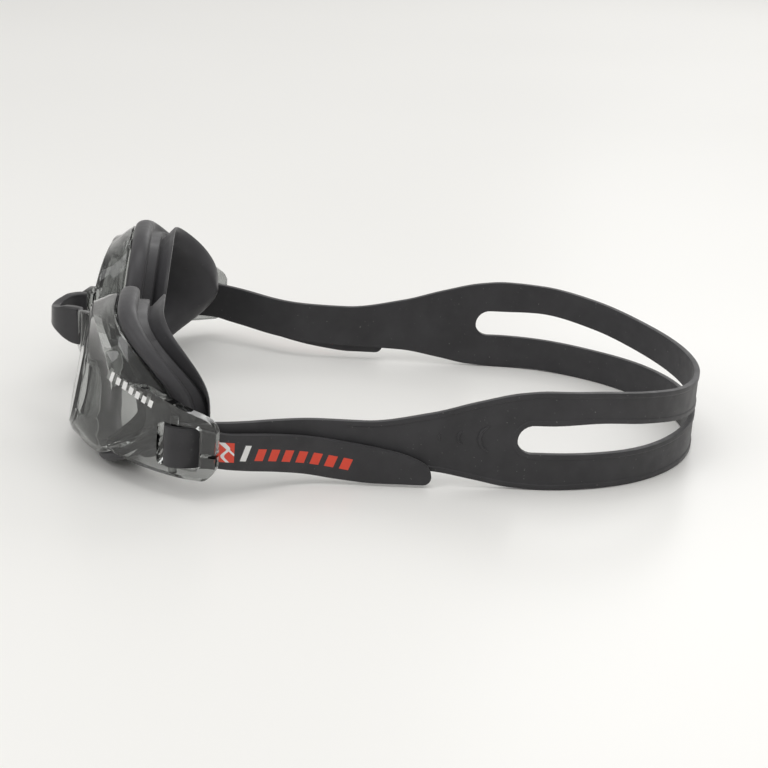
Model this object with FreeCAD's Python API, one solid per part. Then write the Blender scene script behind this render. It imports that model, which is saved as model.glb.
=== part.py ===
import FreeCAD, Part
import math
import os

# Swim goggles at rest on a table. Millimetres, +Z up, lenses face -Y, strap runs towards +Y.
# Origin: under the middle of the goggles, on the table. The two halves mirror across X = 0.

V = FreeCAD.Vector

# Whole object
HALF_LENGTH = 94.0          # half of the length from bridge to back of strap
BRIDGE_FRONT_Y = -9.6       # front of the nose bridge, measured from the bridge ends

# Cup: lens moulding and gasket share one rim curve, which sweeps back at the temple
CUP_X = 36.0
CUP_Z = 22.3
RIM_Y = 9.0                 # rear edge of the lens at the middle of the cup
RIM_LEAN = 0.10             # how far the cup leans back for each millimetre of height
RIM_NOSE = 23.0             # rim centre to nose side
RIM_TEMPLE = 23.5           # rim centre to temple side
RIM_HALF_HEIGHT = 20.4
RIM_SWEEP = 19.5            # how far the temple side of the rim lies behind the middle
SWEEP_TIP = -0.12           # height of the rearmost point, as a share of the half height
LENS_SQUARENESS = 2.5

# Lens
LENS_WALL = 1.8
WINDOW_X = 30.5
WINDOW_Y = 1.0
WINDOW_LEAN = 0.17
WINDOW_WRAP = 0.05
WINDOW_NOSE = 18.5
WINDOW_TEMPLE = 16.5
WINDOW_HALF_HEIGHT = 15.0
WALL_BULGE = 4.6

# Gasket
GASKET_GAP = 0.6
BEAD_DEPTH = 5.2
BEAD_STAND_OUT = 1.9
STEP_DEPTH = 2.6
GASKET_WALL = 1.3
SKIRT_BACK = 11.6           # lens rim to skirt rim, measured backwards
SKIRT_SWEEP = 16.5

# Temple arm and buckle
ARM_THICKNESS = 3.2
BUCKLE_TOP_Z = 23.4
BUCKLE_BOTTOM_Z = 5.4
BUCKLE_END_Y = 40.0
ARM_END_X = 73.0
WINDOW_FRONT_Y = 24.8
WINDOW_REAR_Y = 35.4
WINDOW_TOP_Z = 20.2
WINDOW_BOTTOM_Z = 8.4
END_BAR_SLIT = 1.0
END_BAR_SLIT_Z = 12.6

# Nose bridge
BRIDGE_END_X = 7.6
BRIDGE_LOW_Z = 20.6
BRIDGE_HIGH_Z = 31.2
BRIDGE_WALL = 2.6
BRIDGE_GAP = 0.15

# Strap
STRAP_T = 1.6
STRAP_W = 10.8              # width of the strap where it turns round the post
STRAP_X = 52.2              # centre line of the straight sides
STRAP_BEND_Y = 125.5        # where the half circle round the back begins
LAYER_GAP = 0.35            # between the free tab and the strap under it
POST_X = 66.6
POST_Y = 28.6
POST_R = 1.2
FOLD_GAP = 0.2
FOLD_END_Y = 42.0
LEAD_END_Y = 100.0
YOKE_END_Y = 124.0
CUT = 0.3                   # saw gap between strap pieces on different bodies
NEAR_TAB_END_Y = 97.0
FAR_TAB_END_Y = 90.0
BAND_TOP_Z = 27.8
BAND_BOTTOM_Z = 0.0
SLOT_Z = 14.0
SLOT_HALF = 4.3
SLOT_FRONT_Y = 119.4


def closed_curve(points):
    curve = Part.BSplineCurve()
    curve.interpolate(points, PeriodicFlag=True)
    return Part.Wire([curve.toShape()])


def open_curve(points):
    curve = Part.BSplineCurve()
    curve.interpolate(points)
    return curve.toShape()


def oval_point(a, nose, temple, half_height):
    """Point of a squarish oval in a frontal plane, longer towards the temple, and its sweep from 0 to 1."""
    c = math.cos(a)
    s = math.sin(a)
    reach = temple if c > 0 else nose
    x = math.copysign(reach * abs(c) ** (2 / LENS_SQUARENESS), c)
    z = math.copysign(half_height * abs(s) ** (2 / LENS_SQUARENESS), s)
    away = (s - SWEEP_TIP) / (1 - SWEEP_TIP) if s > SWEEP_TIP else (SWEEP_TIP - s) / (1 + SWEEP_TIP)
    sweep = (1 - away ** 1.3) ** 1.4 if c > 0 else 0.0
    return x, z, sweep


def rim_ring(offset, back, sweep=RIM_SWEEP, count=28):
    """Closed curve parallel to the lens rim: offset outwards, and back towards the face."""
    points = []
    for i in range(count):
        a = 2 * math.pi * i / count
        x, z, part = oval_point(a, RIM_NOSE + offset, RIM_TEMPLE + offset, RIM_HALF_HEIGHT + offset)
        points.append(V(CUP_X + x, RIM_Y + back + RIM_LEAN * z + sweep * part, CUP_Z + z))
    return closed_curve(points)


def window_ring(offset, back, count=28):
    """Flat closed curve parallel to the edge of the front window."""
    points = []
    for i in range(count):
        a = 2 * math.pi * i / count
        x, z, part = oval_point(a, WINDOW_NOSE + offset, WINDOW_TEMPLE + offset, WINDOW_HALF_HEIGHT + offset)
        points.append(V(WINDOW_X + x, WINDOW_Y + back + WINDOW_LEAN * z + WINDOW_WRAP * x, CUP_Z + z))
    return closed_curve(points)


def wall_ring(offset, share, bulge, count=28):
    """Ring part of the way from the window's edge to the rim, pushed outwards."""
    points = []
    for i in range(count):
        a = 2 * math.pi * i / count
        x0, z0, part = oval_point(a, WINDOW_NOSE + offset, WINDOW_TEMPLE + offset, WINDOW_HALF_HEIGHT + offset)
        front = V(WINDOW_X + x0, WINDOW_Y + WINDOW_LEAN * z0 + WINDOW_WRAP * x0, CUP_Z + z0)
        x1, z1, part = oval_point(a, RIM_NOSE + offset, RIM_TEMPLE + offset, RIM_HALF_HEIGHT + offset)
        rear = V(CUP_X + x1, RIM_Y + RIM_LEAN * z1 + RIM_SWEEP * part, CUP_Z + z1)
        out = V(math.cos(a), 0, math.sin(a)) * (bulge * (0.3 + 0.7 * part))
        points.append(front * (1 - share) + rear * share + out)
    return closed_curve(points)


def skin(rings):
    """Faces that join each ring to the next."""
    faces = []
    for first, second in zip(rings, rings[1:]):
        faces.extend(Part.makeLoft([first, second], False, True).Faces)
    return faces


def closed_solid(faces):
    shell = Part.makeShell(faces)
    shell.sewShape()
    solid = Part.makeSolid(shell)
    if solid.Volume < 0:
        solid.reverse()
    return solid


def cup_rings(offset, front, rear):
    return [window_ring(offset, front), wall_ring(offset, 0.45, WALL_BULGE), rim_ring(offset, rear)]


def cup_shell():
    """The eye piece: closed in front by the window, open behind."""
    outside = cup_rings(0, 0, 0)
    inside = cup_rings(-LENS_WALL, LENS_WALL, 0)
    faces = [Part.Face(outside[0])] + skin(outside + inside[::-1]) + [Part.Face(inside[0])]
    return closed_solid(faces)


def cup_hollow():
    """Solid that fills the inside of the cup, to keep the arm and the collar out of it."""
    rings = cup_rings(-0.9, 0.9, 0)
    rings.append(rim_ring(-0.9, 6))
    rings.append(rim_ring(-12, 12, 0))
    return closed_solid([Part.Face(rings[0])] + skin(rings) + [Part.Face(rings[-1])])


def bead_room():
    """Solid that keeps the arm and the collar clear of the gasket's bead."""
    outer = BEAD_STAND_OUT + GASKET_GAP
    rings = [rim_ring(outer, 0.05), rim_ring(outer, 14), rim_ring(-6, 14), rim_ring(-6, 0.05), rim_ring(outer, 0.05)]
    return closed_solid(skin(rings))


def arm_plate():
    """Curved plate from the temple side of the lens back to the buckle, seen from above."""
    outer = [V(55.0, 10.5, 0), V(62.0, 18.5, 0), V(67.4, 24.6, 0), V(70.8, 31.5, 0), V(ARM_END_X, BUCKLE_END_Y, 0)]
    inner = [V(ARM_END_X - ARM_THICKNESS, BUCKLE_END_Y, 0), V(67.6, 32.5, 0), V(64.4, 26.6, 0),
             V(59.4, 21.0, 0), V(53.0, 13.0, 0)]
    edges = [open_curve(outer), Part.makeLine(outer[-1], inner[0]),
             open_curve(inner), Part.makeLine(inner[-1], outer[0])]
    plan = Part.Face(Part.Wire(edges))
    return plan.extrude(V(0, 0, 50))


def arm_side_outline():
    """Side shape of the arm, narrowing from the lens to the buckle."""
    top = [V(0, 5, 34), V(0, 16, 30), V(0, 25, 26.4), V(0, 34, BUCKLE_TOP_Z)]
    bottom = [V(0, 34, BUCKLE_BOTTOM_Z), V(0, 24, 4.6), V(0, 14, 5.0), V(0, 5, 8)]
    end_top = V(0, BUCKLE_END_Y, BUCKLE_TOP_Z - 3)
    end_bottom = V(0, BUCKLE_END_Y, BUCKLE_BOTTOM_Z + 5)
    edges = [open_curve(top), Part.makeLine(top[-1], end_top), Part.makeLine(end_top, end_bottom),
             Part.makeLine(end_bottom, bottom[0]), open_curve(bottom), Part.makeLine(bottom[-1], top[0])]
    face = Part.Face(Part.Wire(edges))
    return face.extrude(V(90, 0, 0))


def arm():
    plate = arm_plate().common(arm_side_outline())
    window = Part.makeBox(40, WINDOW_REAR_Y - WINDOW_FRONT_Y, WINDOW_TOP_Z - WINDOW_BOTTOM_Z,
                          V(50, WINDOW_FRONT_Y, WINDOW_BOTTOM_Z))
    slit = Part.makeBox(40, BUCKLE_END_Y, END_BAR_SLIT, V(50, WINDOW_REAR_Y - 1, END_BAR_SLIT_Z))
    return plate.cut(window).cut(slit)


def post():
    """Crossbar inside the buckle window, which the strap turns round."""
    height = WINDOW_TOP_Z - WINDOW_BOTTOM_Z + 2.4
    return Part.makeCylinder(POST_R, height, V(POST_X, POST_Y, WINDOW_BOTTOM_Z - 1.2))


def post_ears():
    """Short ears that carry the ends of the post from the arm's rails."""
    ears = []
    for z in (WINDOW_BOTTOM_Z - 2.4, WINDOW_TOP_Z):
        ears.append(Part.makeBox(3.6, 3.0, 2.4, V(POST_X - 1.4, POST_Y - 1.5, z)))
    return ears


def nose_lug():
    """Collar on the nose side of the lens, which the end of the bridge butts against."""
    low = BRIDGE_LOW_Z - 0.8
    plan = Part.makePolygon([V(BRIDGE_END_X, -3.2, low), V(13.6, -2.0, low), V(16.2, 1.4, low), V(13.2, 2.6, low),
                             V(BRIDGE_END_X, 1.8, low), V(BRIDGE_END_X, -3.2, low)])
    return Part.Face(plan).extrude(V(0, 0, BRIDGE_HIGH_Z + 0.4 - low))


def lens_left():
    shell = cup_shell()
    hollow = cup_hollow()
    room = bead_room()
    extras = [piece.cut(hollow).cut(room) for piece in (arm(), nose_lug())]
    lens = shell.fuse(extras + [post()] + post_ears())
    return lens.removeSplitter()


def gasket_left():
    """Soft seal: a round bead next to the lens, a stepped neck, and a skirt that flares back to the face."""
    front = GASKET_GAP
    bead_rear = front + BEAD_DEPTH
    step_rear = bead_rear + STEP_DEPTH
    wall = GASKET_WALL
    rings = [rim_ring(-3.2, front), rim_ring(0, front), rim_ring(BEAD_STAND_OUT, front + 0.3 * BEAD_DEPTH),
             rim_ring(BEAD_STAND_OUT, front + 0.7 * BEAD_DEPTH), rim_ring(-0.6, bead_rear),
             rim_ring(-0.8, step_rear), rim_ring(-2.4, step_rear + 0.2), rim_ring(-1.4, SKIRT_BACK - 1.4, SKIRT_SWEEP + 0.8),
             rim_ring(0.2, SKIRT_BACK, SKIRT_SWEEP), rim_ring(-0.8, SKIRT_BACK + 0.2, SKIRT_SWEEP),
             rim_ring(-2.4 - wall, step_rear), rim_ring(-3.2, front)]
    return closed_solid(skin(rings))


def nose_bridge():
    """Arch that bulges forward between the lenses."""
    x = BRIDGE_END_X - BRIDGE_GAP
    front = BRIDGE_FRONT_Y
    back = -2.4
    outer = [V(x, back, 0), V(5.6, -6.4, 0), V(0, front, 0), V(-5.6, -6.4, 0), V(-x, back, 0)]
    inner_x = x - 1.2
    inner = [V(-x, 1.2, 0), V(-inner_x + 0.6, -0.6, 0), V(0, front + BRIDGE_WALL, 0),
             V(inner_x - 0.6, -0.6, 0), V(x, 1.2, 0)]
    edges = [open_curve(outer), Part.makeLine(outer[-1], inner[0]),
             open_curve(inner), Part.makeLine(inner[-1], outer[0])]
    arch = Part.Face(Part.Wire(edges)).extrude(V(0, 0, 50))
    side = Part.makePolygon([V(-20, 2, BRIDGE_LOW_Z), V(-20, -6, BRIDGE_LOW_Z + 0.2), V(-20, -10, 23.4),
                             V(-20, -10, 28.2), V(-20, -6, 31.6), V(-20, 2, BRIDGE_HIGH_Z),
                             V(-20, 2, BRIDGE_LOW_Z)])
    return arch.common(Part.Face(side).extrude(V(40, 0, 0)))


def ribbon(points, count=30):
    """Upright strip of strap along a plan curve, before its edges are trimmed."""
    curve = Part.BSplineCurve()
    curve.interpolate([V(x, y, 0) for x, y in points])
    first, last = curve.FirstParameter, curve.LastParameter
    left = []
    right = []
    for i in range(count + 1):
        t = first + (last - first) * i / count
        tangent = curve.tangent(t)[0]
        normal = V(-tangent.y, tangent.x, 0) * (STRAP_T / 2)
        place = curve.value(t)
        left.append(place + normal)
        right.append(place - normal)
    right.reverse()
    edges = [open_curve(left), Part.makeLine(left[-1], right[0]),
             open_curve(right), Part.makeLine(right[-1], left[0])]
    strip = Part.Face(Part.Wire(edges)).extrude(V(0, 0, 40))
    strip.translate(V(0, 0, -5))
    return strip


def side_trim(top, bottom):
    """Solid that keeps what lies between two edge curves given as (y, z) points, seen from the side."""
    upper = [V(-100, y, z) for y, z in top]
    lower = [V(-100, y, z) for y, z in reversed(bottom)]
    edges = [open_curve(upper), Part.makeLine(upper[-1], lower[0]),
             open_curve(lower), Part.makeLine(lower[-1], upper[0])]
    return Part.Face(Part.Wire(edges)).extrude(V(200, 0, 0))


def between_y(y0, y1):
    return Part.makeBox(200, y1 - y0, 60, V(-100, y0, -10))


# Strap edge heights (y, z): the lead is narrow at the buckle and widens into the yoke
STRAP_TOP = [(20, 20.2), (42, 18.9), (60, 17.6), (78, 17.3), (96, 20.4), (108, 24.0), (120, 27.0), (130, 27.8)]
STRAP_LOW = [(20, 9.2), (42, 7.6), (60, 5.8), (78, 4.7), (96, 4.2), (108, 2.3), (118, 0.5), (130, 0.0)]

# Plan of the two strap layers (x, y): both leave the buckle together and draw in to the straight sides
FOLD_R = POST_R + FOLD_GAP + STRAP_T / 2
TAB_X = STRAP_X + STRAP_T + LAYER_GAP
INNER_PLAN = [(POST_X - FOLD_R, POST_Y), (64.3, 33.5), (63.1, 39.5), (60.1, 46.5), (55.7, 54.5), (53.0, 62.0),
              (STRAP_X, 70.0), (STRAP_X, 86.0), (STRAP_X, 104.0)]
OUTER_PLAN = [(POST_X + FOLD_R, POST_Y), (68.5, 32.0), (66.8, 36.4), (65.4, 40.8), (62.6, 47.2), (58.3, 55.2),
              (55.2, 63.0), (TAB_X, 71.5), (TAB_X, 86.0), (TAB_X, 104.0)]


def strap_fold_left():
    """The turn of strap round the buckle post, with the start of both layers."""
    low = WINDOW_BOTTOM_Z + 0.2
    turn = Part.makeCylinder(FOLD_R + STRAP_T / 2, STRAP_W, V(POST_X, POST_Y, low))
    turn = turn.cut(Part.makeCylinder(FOLD_R - STRAP_T / 2, STRAP_W, V(POST_X, POST_Y, low)))
    turn = turn.common(Part.makeBox(20, 20, 40, V(POST_X - 10, POST_Y - 20, -10)))
    inner = ribbon(INNER_PLAN).common(between_y(POST_Y, FOLD_END_Y))
    outer = ribbon(OUTER_PLAN).common(between_y(POST_Y, FOLD_END_Y))
    high = low + STRAP_W
    inner = inner.common(side_trim([(20, high), (36, high - 0.1), (43, 18.8), (50, 18.3)],
                                   [(20, low), (36, low + 0.1), (43, 7.6), (50, 6.9)]))
    outer = outer.common(side_trim([(20, high - 0.6), (28, high), (36, high - 0.6), (43, 16.8), (50, 15.7)],
                                   [(20, low), (36, low + 0.1), (43, 7.0), (50, 5.6)]))
    return turn.fuse([inner, outer]).removeSplitter()


def strap_lead_left():
    strip = ribbon(INNER_PLAN).common(side_trim(STRAP_TOP, STRAP_LOW))
    return strip.common(between_y(FOLD_END_Y + CUT, LEAD_END_Y))


def strap_tab(end_y, top, bottom):
    """Free end of the strap, lying outside the lead, with a tapered tip."""
    strip = ribbon(OUTER_PLAN).common(side_trim(top, bottom))
    return strip.common(between_y(FOLD_END_Y + CUT, end_y))


def strap_tab_left():
    top = [(38, 17.3), (48, 15.9), (61, 13.7), (72, 12.0), (82, 10.4), (88, 9.2), (93, 7.4), (97.5, 4.0)]
    bottom = [(38, 7.9), (48, 5.9), (61, 3.4), (72, 1.5), (82, 0.7), (90, 0.7), (95, 1.5), (97.5, 3.4)]
    return strap_tab(NEAR_TAB_END_Y, top, bottom)


def strap_tab_right():
    top = [(38, 18.3), (48, 17.0), (60, 15.2), (72, 13.5), (80, 12.0), (86, 9.6), (90.5, 5.6)]
    bottom = [(38, 8.0), (48, 6.6), (60, 4.8), (72, 3.0), (80, 2.2), (86, 2.3), (90.5, 4.2)]
    tab = strap_tab(FAR_TAB_END_Y, top, bottom)
    return mirrored(tab)


def strap_yoke_left():
    """Wide plate where the strap divides into its two bands, with the front end of the slot."""
    strip = ribbon([(STRAP_X, 90.0), (STRAP_X, 110.0), (STRAP_X, 130.0)], 4)
    plate = strip.common(side_trim(STRAP_TOP, STRAP_LOW)).common(between_y(LEAD_END_Y, YOKE_END_Y))
    slot = Part.makeCylinder(SLOT_HALF, 20, V(STRAP_X - 10, SLOT_FRONT_Y + SLOT_HALF, SLOT_Z), V(1, 0, 0))
    mouth = Part.makeBox(20, 10, 2 * SLOT_HALF, V(STRAP_X - 10, SLOT_FRONT_Y + SLOT_HALF, SLOT_Z - SLOT_HALF))
    return plate.cut(slot).cut(mouth)


def band(top, bottom):
    """One of the two bands that run round the back of the head."""
    start = YOKE_END_Y + CUT
    ring = Part.makeCylinder(STRAP_X + STRAP_T / 2, 40, V(0, STRAP_BEND_Y, -5))
    ring = ring.cut(Part.makeCylinder(STRAP_X - STRAP_T / 2, 40, V(0, STRAP_BEND_Y, -5)))
    loop = ring.common(between_y(STRAP_BEND_Y, STRAP_BEND_Y + 80))
    legs = []
    for side in (-1, 1):
        legs.append(Part.makeBox(STRAP_T, STRAP_BEND_Y - start, 40,
                                 V(side * STRAP_X - STRAP_T / 2, start, -5)))
    whole = loop.fuse(legs).removeSplitter()
    return whole.common(side_trim(top, bottom))


def strap_upper_band():
    top = [(118, 27.0), (128, BAND_TOP_Z), (140, 27.6), (156, 25.8), (170, 23.2), (182, 21.5)]
    bottom = [(118, 17.6), (128, 18.3), (140, 18.9), (156, 16.9), (170, 13.9), (182, 11.6)]
    return band(top, bottom)


def strap_lower_band():
    top = [(118, 10.4), (128, 10.3), (140, 10.1), (156, 9.8), (170, 10.2), (182, 10.6)]
    bottom = [(118, 0.5), (128, BAND_BOTTOM_Z), (140, 0.3), (156, BAND_BOTTOM_Z), (170, 0.2), (182, 0.6)]
    return band(top, bottom)


def mirrored(shape):
    return shape.mirror(V(0, 0, 0), V(1, 0, 0))


def on_origin(shape):
    """Move the model so that the origin is under the middle of its length."""
    shape = shape.copy()
    shape.translate(V(0, -(BRIDGE_FRONT_Y + HALF_LENGTH), 0))
    return shape


def build():
    nodes = {
        "lens_left": lens_left(),
        "gasket_left": gasket_left(),
        "nose_bridge": nose_bridge(),
        "strap_fold_left": strap_fold_left(),
        "strap_lead_left": strap_lead_left(),
        "strap_tab_left": strap_tab_left(),
        "strap_tab_right": strap_tab_right(),
        "strap_yoke_left": strap_yoke_left(),
        "strap_upper_band": strap_upper_band(),
        "strap_lower_band": strap_lower_band(),
    }
    for name in ("lens", "gasket", "strap_fold", "strap_lead", "strap_yoke"):
        nodes[name + "_right"] = mirrored(nodes[name + "_left"])
    return nodes


os.makedirs("parts", exist_ok=True)
for node, shape in build().items():
    placed = on_origin(shape)
    box = placed.BoundBox
    print(node, "solids", len(placed.Solids), "valid", placed.isValid(), "volume", round(placed.Volume, 1),
          "box", [round(v, 1) for v in (box.XMin, box.XMax, box.YMin, box.YMax, box.ZMin, box.ZMax)])
    placed.exportStep("parts/" + node + ".step")
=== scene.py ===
"""Swim goggles: smoked lens cups, soft seals, nose bridge and a split head strap, around the CAD frame."""

import math

import bmesh
import bpy
from mathutils import Matrix, Vector
from mathutils.kdtree import KDTree


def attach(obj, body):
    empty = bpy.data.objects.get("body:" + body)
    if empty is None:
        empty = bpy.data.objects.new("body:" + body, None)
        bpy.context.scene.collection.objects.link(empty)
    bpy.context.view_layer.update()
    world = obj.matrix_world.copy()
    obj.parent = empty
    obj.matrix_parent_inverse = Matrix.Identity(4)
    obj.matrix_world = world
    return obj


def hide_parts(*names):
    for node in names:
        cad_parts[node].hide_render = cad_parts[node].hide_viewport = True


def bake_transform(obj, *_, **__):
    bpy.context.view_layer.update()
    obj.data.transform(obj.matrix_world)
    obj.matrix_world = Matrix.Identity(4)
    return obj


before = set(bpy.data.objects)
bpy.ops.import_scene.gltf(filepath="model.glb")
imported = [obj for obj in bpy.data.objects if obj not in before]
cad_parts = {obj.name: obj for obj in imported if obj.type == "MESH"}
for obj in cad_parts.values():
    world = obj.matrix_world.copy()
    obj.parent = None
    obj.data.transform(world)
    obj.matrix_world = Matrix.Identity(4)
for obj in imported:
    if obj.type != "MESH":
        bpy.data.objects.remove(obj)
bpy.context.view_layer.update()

MM = 0.001
MIDDLE_Y = 84.4             # how far the goggles' own zero, at the bridge ends, lies ahead of the middle


def here(x, y, z):
    """Millimetres on the goggles to metres in the frame."""
    return Vector((x * MM, (y - MIDDLE_Y) * MM, z * MM))


# ---------------------------------------------------------------- sizes, mm
CUP_X, CUP_Z = 36.0, 22.3
RIM_Y, RIM_LEAN, RIM_NOSE, RIM_TEMPLE, RIM_HALF = 9.0, 0.10, 23.0, 23.5, 20.4
RIM_SWEEP, SKIRT_SWEEP, SWEEP_TIP, SQUARENESS = 19.5, 16.0, -0.12, 2.5
WINDOW_X, WINDOW_Y, WINDOW_LEAN, WINDOW_WRAP = 30.5, 1.0, 0.17, 0.05
WINDOW_NOSE, WINDOW_TEMPLE, WINDOW_HALF = 18.5, 16.5, 15.0
POST_X, POST_Y, POST_R = 66.6, 28.6, 1.2
TURN_R = 2.2
STRAP_T = 1.6
STRAP_X = 52.2
TAIL_X = 54.15
BEND_Y = 125.5
SEAM_FOLD_Y, SEAM_YOKE_Y, SEAM_BAND_Y = 42.0, 100.0, 124.0
SLOT_Y, SLOT_Z = 119.4, 14.0
RING_COUNT = 112


# ---------------------------------------------------------------- edit-mode helpers
def drop_selection():
    for o in bpy.context.selected_objects:
        o.select_set(False)


def take(obj):
    drop_selection()
    obj.select_set(True)
    bpy.context.view_layer.objects.active = obj


def edit(obj):
    take(obj)
    bpy.ops.object.mode_set(mode="EDIT")


def leave():
    bpy.ops.object.mode_set(mode="OBJECT")


def use(mode):
    bpy.ops.mesh.select_mode(type=mode)


def settle(obj, angle=35):
    """Outward normals and smooth shading with crisp edges."""
    edit(obj)
    bpy.ops.mesh.select_all(action="SELECT")
    bpy.ops.mesh.remove_doubles(threshold=2e-6)
    bpy.ops.mesh.normals_make_consistent(inside=False)
    leave()
    take(obj)
    bpy.ops.object.shade_smooth_by_angle(angle=math.radians(angle))
    return obj


def apply(obj, kind, **settings):
    take(obj)
    m = obj.modifiers.new("work", kind)
    for key, value in settings.items():
        setattr(m, key, value)
    bpy.ops.object.modifier_apply(modifier=m.name)


def copy_of(obj, name):
    twin = obj.copy()
    twin.data = obj.data.copy()
    twin.name = twin.data.name = name
    bpy.context.collection.objects.link(twin)
    return twin


def mirrored(obj, name):
    """The same piece for the other side of the face."""
    twin = copy_of(obj, name)
    twin.data.transform(Matrix.Scale(-1, 4, (1, 0, 0)))
    twin.data.flip_normals()
    return twin


def remove(obj):
    bpy.data.objects.remove(obj)


def blank(name):
    obj = bpy.context.active_object
    obj.name = obj.data.name = name
    return obj


def ring_solid(name, rings, close=True):
    """Skin through rings of points: a circle is shaped to the first ring and extruded from ring to ring."""
    drop_selection()
    bpy.ops.mesh.primitive_circle_add(vertices=len(rings[0]), radius=0.01, fill_type="NOTHING")
    obj = blank(name)
    for v, p in zip(obj.data.vertices, rings[0]):
        v.co = here(*p)
    edit(obj)
    use("VERT")
    bpy.ops.mesh.select_all(action="SELECT")
    if close:
        bpy.ops.mesh.edge_face_add()
        bpy.ops.mesh.select_all(action="SELECT")
    for before, after in zip(rings, rings[1:]):
        tree = KDTree(len(before))
        for i, p in enumerate(before):
            tree.insert(here(*p), i)
        tree.balance()
        if close and before is rings[0]:
            bm = bmesh.from_edit_mesh(obj.data)
            for f in bm.faces:
                f.select_set(False)
            for e in bm.edges:
                e.select_set(True)
        bpy.ops.mesh.extrude_edges_move()
        bm = bmesh.from_edit_mesh(obj.data)
        for v in bm.verts:
            if v.select:
                v.co = here(*after[tree.find(v.co)[1]])
        bmesh.update_edit_mesh(obj.data)
    if close:
        bpy.ops.mesh.edge_face_add()
    leave()
    return obj


# ---------------------------------------------------------------- curves
def curve(points):
    """Smooth height along a length: a cubic through (place, height) pairs that doesn't overshoot."""
    xs = [p[0] for p in points]
    ys = [p[1] for p in points]
    n = len(xs)
    step = [(ys[i + 1] - ys[i]) / (xs[i + 1] - xs[i]) for i in range(n - 1)]
    slope = [step[0]] + [0.0] * (n - 2) + [step[-1]]
    for i in range(1, n - 1):
        if step[i - 1] * step[i] > 0:
            slope[i] = 2 * step[i - 1] * step[i] / (step[i - 1] + step[i])

    def height(x):
        if x <= xs[0]:
            return ys[0]
        if x >= xs[-1]:
            return ys[-1]
        i = max(k for k in range(n - 1) if xs[k] <= x)
        h = xs[i + 1] - xs[i]
        t = (x - xs[i]) / h
        return ((2 * t ** 3 - 3 * t ** 2 + 1) * ys[i] + (t ** 3 - 2 * t ** 2 + t) * h * slope[i]
                + (3 * t ** 2 - 2 * t ** 3) * ys[i + 1] + (t ** 3 - t ** 2) * h * slope[i + 1])

    return height


class Route:
    """A smooth line in plan, measured along its length in mm."""

    def __init__(self, points, steps=24):
        line = []
        ends = [points[0] * 2 - points[1]] + points + [points[-1] * 2 - points[-2]]
        for i in range(1, len(ends) - 2):
            a, b, c, d = ends[i - 1:i + 3]
            for k in range(steps):
                t = k / steps
                line.append(0.5 * (2 * b + (c - a) * t + (2 * a - 5 * b + 4 * c - d) * t ** 2
                                   + (3 * b - a - 3 * c + d) * t ** 3))
        line.append(points[-1])
        self.line = line
        self.at = [0.0]
        for p, q in zip(line, line[1:]):
            self.at.append(self.at[-1] + (q - p).length)
        self.length = self.at[-1]

    def _cell(self, s):
        low, high = 0, len(self.at) - 2
        while low < high:
            mid = (low + high + 1) // 2
            if self.at[mid] <= s:
                low = mid
            else:
                high = mid - 1
        return low

    def point(self, s):
        i = self._cell(s)
        t = (s - self.at[i]) / (self.at[i + 1] - self.at[i])
        return self.line[i].lerp(self.line[i + 1], t)

    def side(self, s):
        """Unit vector to the left of the line."""
        d = (self.point(min(s + 0.4, self.length)) - self.point(max(s - 0.4, 0))).normalized()
        return Vector((-d.y, d.x))

    def place_of(self, y, low, high):
        """Length at which the line reaches y, between two lengths."""
        up = self.point(high).y > self.point(low).y
        for _ in range(40):
            mid = (low + high) / 2
            if (self.point(mid).y < y) == up:
                low = mid
            else:
                high = mid
        return (low + high) / 2


def arc(x, y, r, start, end, count):
    out = []
    for i in range(count + 1):
        a = math.radians(start + (end - start) * i / count)
        out.append(Vector((x + r * math.cos(a), y + r * math.sin(a))))
    return out


# ---------------------------------------------------------------- flat mouldings
def even(a, b, count):
    return [a + (b - a) * i / count for i in range(count + 1)]


def flat_strip(name, columns, thickness):
    """Flat strip lying along X: each column is (length, heights below the slot, heights above it) in mm.

    Two grids, below and above the slot, are shaped to the columns and joined wherever the slot is shut.
    """
    halves = []
    for k in (1, 2):
        rows = len(columns[0][k]) - 1
        drop_selection()
        bpy.ops.mesh.primitive_grid_add(x_subdivisions=len(columns) - 1, y_subdivisions=rows, size=1)
        half = blank(name)
        for v in half.data.vertices:
            column = columns[round((v.co.x + 0.5) * (len(columns) - 1))]
            v.co = Vector((column[0], column[k][round((v.co.y + 0.5) * rows)], -thickness / 2)) * MM
        halves.append(half)
    take(halves[1])
    halves[0].select_set(True)
    bpy.context.view_layer.objects.active = halves[0]
    bpy.ops.object.join()
    obj = halves[0]
    edit(obj)
    bpy.ops.mesh.select_all(action="SELECT")
    bpy.ops.mesh.remove_doubles(threshold=1e-6)
    bpy.ops.mesh.select_all(action="SELECT")
    bpy.ops.mesh.extrude_region_move(TRANSFORM_OT_translate={"value": (0, 0, thickness * MM)})
    bpy.ops.mesh.select_all(action="SELECT")
    bpy.ops.mesh.normals_make_consistent(inside=False)
    leave()
    return obj


def sunk_panel(obj, inside, depth):
    """Lowers the middle of the lower face, so that a raised rim is left along its edges."""
    edit(obj)
    use("VERT")
    bpy.ops.mesh.select_all(action="DESELECT")
    bm = bmesh.from_edit_mesh(obj.data)
    for v in bm.verts:
        v.select_set(v.co.z < 0 and inside(v.co.x / MM, v.co.y / MM))
    bmesh.update_edit_mesh(obj.data)
    bpy.ops.transform.translate(value=(0, 0, depth * MM))
    leave()


def soften(obj, width, segments=2, sharp=55):
    """Rounds the sharp edges."""
    edit(obj)
    use("EDGE")
    bpy.ops.mesh.select_all(action="DESELECT")
    bpy.ops.mesh.edges_select_sharp(sharpness=math.radians(sharp))
    bpy.ops.mesh.bevel(offset=width * MM, segments=segments, profile=0.5, clamp_overlap=True)
    leave()


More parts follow.
